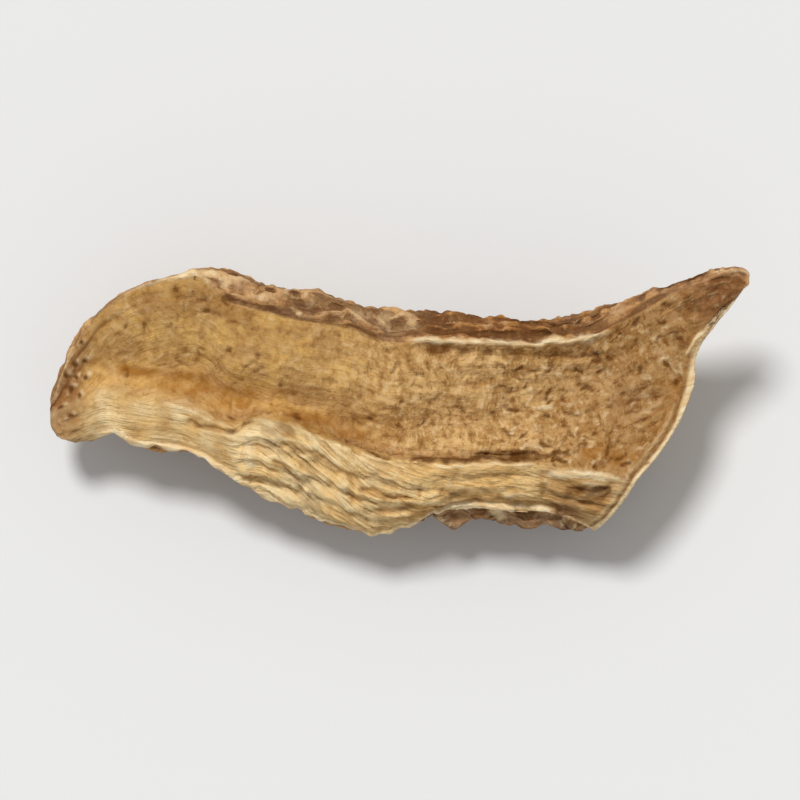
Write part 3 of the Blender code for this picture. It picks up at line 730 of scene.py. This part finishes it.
# %% [markdown]
# ## Marks for the colours
# A material can't see lines or tissues, so they are written on the mesh as colour attributes: one for the tissues,
# one for the marks, one for how far each point stands out from the calm form, and one for the browner places, two
# of them painted shade. Hollows of the relief are darkened as painted shade, and its ridges lightened as a painted
# highlight.

# %% Write the attributes
def write_colours(name, *shares):
    attribute = chip.data.attributes.new(name, "FLOAT_COLOR", "POINT")
    values = np.ones((len(x), 4), np.float32)
    for place, share in enumerate(shares):
        values[:, place] = np.clip(share, 0, 1)
    attribute.data.foreach_set("color", values.ravel())


ring_tone = cut_end * np.maximum(0.7 * growth_line, 0.9 * skin_side)
moved = places - calm_places
moved[:, 1] += pushed
stands_out = (moved * normals).sum(axis=1)
# Painted shade: the gaps under the flank's shingles and at its breaks, and the bark's furrows and cracks, are
# darkened.
gap_shade = 0.6 * flank_strength * np.maximum(under_shingle, 0.7 * breaks)
gap_shade += 0.6 * bark * np.maximum(0.8 * furrows, cracks)
mottled = 1 - ease(-x, 7.8, 9.2) * (0.54 - 0.9 * lump_noise(1.0, 52))
cream = np.maximum(flank, top * to_left * ease(crest_y - y, -0.9, 0.0)) * np.clip(mottled, 0, 1) * (1 - patch)
browned_and_painted_shade = ease(x + 1.4 * lump_noise(1.2, 51), 5.5, 11.5) * (0.8 + 0.6 * flank) + 1.3 * tip
browned_and_painted_shade = np.maximum(browned_and_painted_shade, 0.3 * browned_and_painted_shade + browning_and_painted_shade)
far_tip = ease(-x, 16.0, 17.0)
write_colours("tissue", cream, bark * (1 - 0.75 * far_tip), cut_end)
write_colours("marks", np.maximum(dark, 0.45 * gap_shade), pale, stain)
write_colours("form", 0.5 + stands_out / 0.5, np.maximum.reduce((skin, patch, far_tip)), to_right)
write_colours("places", browned_and_painted_shade + 0.6 * flank * ease(x, 6.5, 8.5), np.maximum(horn, dusky * seen), ring_tone)
print("stands out", np.percentile(stands_out, (1, 50, 99)).round(3), "mm")

# %% [markdown]
# ## The material
# One material covers the chip, because the tissues run into each other. Each tissue has its own colour, built from
# noises at the size of its real detail: fibres on the grain map, and blotches on the object's coordinates. Then the
# marks go over all of them. Dry root is matt, so the roughness stays high, and the finest relief, too fine for the
# mesh, is a bump.

# %% Helpers that lay nodes
finish = bpy.data.materials.new("dried_root_finish")
finish.use_nodes = True
tree = finish.node_tree
shader = tree.nodes["Principled BSDF"]


def feed(socket, value):
    if isinstance(value, bpy.types.NodeSocket):
        tree.links.new(value, socket)
    else:
        socket.default_value = value


def colour_of(red, green, blue):
    """A colour named as on a screen, from 0 to 255, in the light values that the shader uses."""
    return [*(((c / 255 + 0.055) / 1.055) ** 2.4 if c > 10 else c / 255 / 12.92 for c in (red, green, blue)), 1.0]


def mapped(vector, scale):
    node = tree.nodes.new("ShaderNodeMapping")
    feed(node.inputs["Vector"], vector)
    node.inputs["Scale"].default_value = scale
    return node.outputs["Vector"]


def noise_on(vector, size, detail=3.0, roughness=0.55, distortion=0.0):
    """A noise from 0 to 1 with lumps of a size in the vector's own unit."""
    node = tree.nodes.new("ShaderNodeTexNoise")
    feed(node.inputs["Vector"], vector)
    node.inputs["Scale"].default_value = 1 / size
    node.inputs["Detail"].default_value = detail
    node.inputs["Roughness"].default_value = roughness
    node.inputs["Distortion"].default_value = distortion
    return node.outputs["Fac"]


def span(value, low, high, start=0.0, stop=1.0):
    node = tree.nodes.new("ShaderNodeMapRange")
    node.interpolation_type = "SMOOTHSTEP"
    for name, number in zip(("Value", "From Min", "From Max", "To Min", "To Max"), (value, low, high, start, stop)):
        feed(node.inputs[name], number)
    return node.outputs["Result"]


def bent(vector, size, amount):
    """The same coordinates pushed about by a broad noise, so that marks drawn on them swirl."""
    broad = tree.nodes.new("ShaderNodeTexNoise")
    feed(broad.inputs["Vector"], vector)
    broad.inputs["Scale"].default_value = 1 / size
    broad.inputs["Detail"].default_value = 1
    push = tree.nodes.new("ShaderNodeVectorMath")
    push.operation = "MULTIPLY_ADD"
    for socket, value in zip(push.inputs, (broad.outputs["Color"], (amount, amount, amount), vector)):
        feed(socket, value)
    return push.outputs["Vector"]


def sums(operation, first, second):
    node = tree.nodes.new("ShaderNodeMath")
    node.operation = operation
    feed(node.inputs[0], first)
    feed(node.inputs[1], second)
    return node.outputs[0]


def mixed(share, first, second):
    node = tree.nodes.new("ShaderNodeMix")
    node.data_type = "RGBA"
    feed(node.inputs["Factor"], share)
    feed(node.inputs[6], first)
    feed(node.inputs[7], second)
    return node.outputs[2]


def channels(name):
    node = tree.nodes.new("ShaderNodeAttribute")
    node.attribute_name = name
    parts = tree.nodes.new("ShaderNodeSeparateColor")
    feed(parts.inputs[0], node.outputs["Color"])
    return [parts.outputs[i] for i in range(3)]


# %% Coordinates in millimetres, and the attributes
coordinates = tree.nodes.new("ShaderNodeTexCoord")
solid_mm = mapped(coordinates.outputs["Object"], (1 / MM, 1 / MM, 1 / MM))
grain_node = tree.nodes.new("ShaderNodeUVMap")
grain_node.uv_map = "grain"
grain_mm = mapped(grain_node.outputs["UV"], (GRAIN_UNIT, GRAIN_UNIT, 1))
fibre_mm = mapped(grain_mm, (0.16, 1, 1))
is_flank, is_bark, is_end = channels("tissue")
is_dark, is_pale, is_stain = channels("marks")
height, is_skin, is_right = channels("form")
is_browned_and_painted_shade, is_horn, is_ring = channels("places")
print("nodes so far", len(tree.nodes))

# %% The cut face: golden on the left, beige and flecked with short fibres on the right
blotches = noise_on(solid_mm, 1.7, 3, 0.6, 0.4)
cloudy = noise_on(solid_mm, 0.62, 4, 0.65, 0.5)
fibres = noise_on(fibre_mm, 0.2, 4, 0.65)
flecks = noise_on(mapped(bent(solid_mm, 2.4, 1.7), (1.0, 0.5, 1.0)), 0.25, 4, 0.75, 0.2)
streaks = noise_on(fibre_mm, 0.5, 3, 0.6)
swirls = noise_on(bent(solid_mm, 1.6, 1.2), 0.5, 3, 0.6)
golden = mixed(span(blotches, 0.36, 0.64), colour_of(222, 175, 99), colour_of(193, 149, 90))
beige = mixed(span(blotches, 0.4, 0.6), colour_of(219, 175, 114), colour_of(185, 139, 79))
face = mixed(is_right, golden, beige)
face = mixed(span(cloudy, 0.5, 0.32, 0.0, 0.5), face, colour_of(154, 108, 54))
face = mixed(span(cloudy, 0.5, 0.68, 0.0, 0.5), face, colour_of(230, 192, 130))
face = mixed(sums("MULTIPLY", span(streaks, 0.5, 0.66), span(is_right, 0.0, 1.0, 0.2, 0.45)), face,
             colour_of(150, 104, 54))
face = mixed(span(fibres, 0.52, 0.66, 0.0, 0.4), face, colour_of(150, 104, 54))
swirl_strength = sums("ADD", span(is_right, 0.0, 1.0, 0.3, 0.55), span(is_browned_and_painted_shade, 0.0, 1.0, 0.0, 0.4))
face = mixed(sums("MULTIPLY", span(swirls, 0.48, 0.3), swirl_strength), face, colour_of(130, 84, 36))
face = mixed(sums("MULTIPLY", span(swirls, 0.52, 0.7), swirl_strength), face, colour_of(236, 200, 146))
fleck_strength = span(is_right, 0.0, 1.0, 0.3, 0.75)
face = mixed(sums("MULTIPLY", span(flecks, 0.51, 0.68), fleck_strength), face, colour_of(234, 198, 144))
face = mixed(sums("MULTIPLY", span(flecks, 0.48, 0.32), fleck_strength), face, colour_of(130, 86, 42))

# %% The flank: cream strands with brown between them
strand_tone = noise_on(fibre_mm, 0.26, 4, 0.6, 0.3)
tint = noise_on(solid_mm, 1.3, 3)
raised = span(height, 0.2, 0.8)
cream_colour = mixed(span(tint, 0.38, 0.62), colour_of(255, 228, 174), colour_of(252, 215, 150))
straw_colour = mixed(span(tint, 0.38, 0.62), colour_of(255, 217, 153), colour_of(242, 197, 127))
flank_colour = mixed(is_right, cream_colour, straw_colour)
flank_colour = mixed(span(strand_tone, 0.46, 0.3, 0.0, 0.45), flank_colour, colour_of(200, 152, 90))
flank_colour = mixed(span(cloudy, 0.48, 0.3, 0.0, 0.45), flank_colour, colour_of(190, 138, 76))
# Painted shade darkens the strands where they sink, and a painted highlight lightens them where they stand out.
flank_colour = mixed(span(raised, 0.36, 0.0, 0.0, 0.35), flank_colour, colour_of(164, 112, 52))
flank_colour = mixed(span(raised, 0.6, 1.0, 0.0, 0.5), flank_colour, colour_of(255, 232, 182))
hair_lines = noise_on(mapped(grain_mm, (0.1, 1, 1)), 0.1, 2, 0.5)
flank_colour = mixed(span(hair_lines, 0.55, 0.68, 0.0, 0.6), flank_colour, colour_of(162, 114, 58))

# %% The bark: brown and grey, darker in the furrows as painted shade, pinkish on the ridges as a painted highlight
patches = noise_on(solid_mm, 1.1, 5, 0.65, 0.6)
grit = noise_on(solid_mm, 0.22, 4, 0.65)
thread = noise_on(fibre_mm, 0.3, 5, 0.65, 0.4)
dusty = noise_on(solid_mm, 2.4, 3, 0.6)
light_bark = mixed(span(patches, 0.38, 0.62), colour_of(180, 130, 79), colour_of(228, 178, 120))
deep_bark = mixed(span(patches, 0.38, 0.62), colour_of(150, 96, 46), colour_of(188, 132, 72))
deep_share = sums("MULTIPLY", span(is_right, 0.75, 1.0), span(is_browned_and_painted_shade, 0.2, 0.8, 1.0, 0.4))
bark_colour = mixed(deep_share, light_bark, deep_bark)
bark_colour = mixed(span(dusty, 0.52, 0.66, 0.0, 0.4), bark_colour, colour_of(160, 132, 104))
bark_colour = mixed(span(thread, 0.52, 0.36, 0.0, 0.6), bark_colour, colour_of(112, 72, 42))
bark_colour = mixed(span(grit, 0.48, 0.32, 0.0, 0.5), bark_colour, colour_of(100, 62, 36))
bark_colour = mixed(span(grit, 0.54, 0.7, 0.0, 0.6), bark_colour, colour_of(228, 180, 128))
# Painted shade darkens the furrows, and a painted highlight lightens the ridges.
bark_colour = mixed(span(raised, 0.4, 0.0, 0.0, 0.6), bark_colour, colour_of(92, 58, 34))
bark_colour = mixed(span(raised, 0.6, 1.0, 0.0, 0.45), bark_colour, colour_of(222, 176, 128))
dusky_bark = mixed(span(thread, 0.4, 0.62), colour_of(108, 70, 40), colour_of(200, 150, 104))
dusky_bark = mixed(span(cloudy, 0.5, 0.64, 0.0, 0.5), dusky_bark, colour_of(212, 166, 120))
bark_colour = mixed(sums("MULTIPLY", is_horn, 0.7), bark_colour, dusky_bark)

# %% The end grain: pale wood with darker rays
ray_tone = noise_on(mapped(grain_mm, (0.2, 1, 1)), 0.25, 3)
end_colour = mixed(span(ray_tone, 0.4, 0.62), colour_of(176, 132, 80), colour_of(216, 180, 126))
end_colour = mixed(span(blotches, 0.35, 0.65, 0.0, 0.35), end_colour, colour_of(230, 200, 150))
end_colour = mixed(is_ring, end_colour, colour_of(124, 82, 48))

# %% Join the tissues and lay the marks over them
ragged = sums("SUBTRACT", sums("MULTIPLY", sums("ADD", fibres, grit), 0.5), 0.5)


def torn(mark, low, high):
    """A mark with an uneven edge, as fibres leave it, instead of a soft one."""
    return span(sums("ADD", mark, sums("MULTIPLY", ragged, 1.4)), low, high)


skin_colour = mixed(is_horn, colour_of(158, 108, 58), colour_of(112, 66, 32))
base = mixed(is_skin, face, mixed(span(grit, 0.35, 0.65, 0.85, 0.35), bark_colour, skin_colour))
base = mixed(is_flank, base, flank_colour)
# Browner places, two of them painted shade and shadow.
base = mixed(sums("MULTIPLY", is_browned_and_painted_shade, span(blotches, 0.3, 0.6, 0.75, 0.4)), base, colour_of(138, 88, 42))
base = mixed(is_bark, base, bark_colour)
base = mixed(is_end, base, end_colour)
stained = sums("MULTIPLY", is_stain, span(cloudy, 0.3, 0.6, 1.0, 0.6))
base = mixed(stained, base, colour_of(168, 110, 37))
pale_colour = mixed(span(fibres, 0.38, 0.62), colour_of(255, 236, 194), colour_of(238, 202, 148))
base = mixed(sums("MULTIPLY", torn(is_pale, 0.12, 0.95), 0.92), base, pale_colour)
base = mixed(sums("MULTIPLY", torn(is_dark, 0.12, 0.95), 0.85), base, colour_of(98, 54, 6))
feed(shader.inputs["Base Color"], base)
shader.inputs["Specular IOR Level"].default_value = 0.15
feed(shader.inputs["Roughness"], span(fibres, 0.2, 0.8, 0.72, 0.9))

# %% The finest relief as a bump
fine = sums("ADD", sums("MULTIPLY", fibres, span(is_flank, 0.0, 1.0, 0.8, 2.6)), sums("MULTIPLY", flecks, 0.9))
bump = tree.nodes.new("ShaderNodeBump")
bump.inputs["Strength"].default_value = 0.7
bump.inputs["Distance"].default_value = 0.12 * MM
feed(bump.inputs["Height"], sums("ADD", fine, sums("MULTIPLY", grit, span(is_bark, 0.0, 1.0, 0.7, 1.8))))
feed(shader.inputs["Normal"], bump.outputs["Normal"])
chip.data.materials.clear()
chip.data.materials.append(finish)
print("nodes in the finish", len(tree.nodes))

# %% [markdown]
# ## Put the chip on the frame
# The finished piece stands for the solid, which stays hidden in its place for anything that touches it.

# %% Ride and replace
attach(chip, "root")
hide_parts("chicory_root_piece")

# %% [markdown]
# ## Table, light and camera
# The chip is seen from straight above, as in a picture taken over a table. A long lens keeps its outline true. A
# sun lamp lights a table evenly to its far end, where a lamp close by would fade, and a wide angle makes it as soft
# as a panel. It stands high at the back, a little to the left, so that the dish and the folds are modelled by their
# shade, and the white surroundings lift the shadows.

# %% A wide pale table
bpy.ops.object.select_all(action="DESELECT")
bpy.ops.mesh.primitive_plane_add(size=8, location=(0, 0, -0.02 * MM))
table = bpy.context.active_object
table.name = "table"
paper = bpy.data.materials.new("pale_table")
paper.use_nodes = True
paper.node_tree.nodes["Principled BSDF"].inputs["Base Color"].default_value = (0.83, 0.83, 0.82, 1)
paper.node_tree.nodes["Principled BSDF"].inputs["Roughness"].default_value = 0.9
table.data.materials.append(paper)

# %% A soft key light and white surroundings
SURROUNDINGS = 0.38
TOWARDS_KEY = Vector((-0.18, 0.42, 0.89)).normalized()
bpy.ops.object.light_add(type="SUN", location=TOWARDS_KEY)
key = bpy.context.active_object
key.name = "key_light"
key.rotation_euler = TOWARDS_KEY.to_track_quat("Z", "Y").to_euler()
key.data.angle = math.radians(12)
key.data.energy = math.pi * (1 - SURROUNDINGS) / TOWARDS_KEY.z
world = bpy.data.worlds.new("studio")
world.use_nodes = True
world.node_tree.nodes["Background"].inputs["Color"].default_value = (1, 1, 1, 1)
world.node_tree.nodes["Background"].inputs["Strength"].default_value = SURROUNDINGS
bpy.context.scene.world = world
bpy.context.scene.view_settings.view_transform = "Standard"
print("key light of", round(key.data.energy, 2))

# %% A camera straight above
bpy.ops.object.camera_add(location=(0, 0, 0.338), rotation=(0, 0, 0))
camera = bpy.context.active_object
camera.data.lens = 300
camera.data.clip_start = 0.01
bpy.context.scene.camera = camera
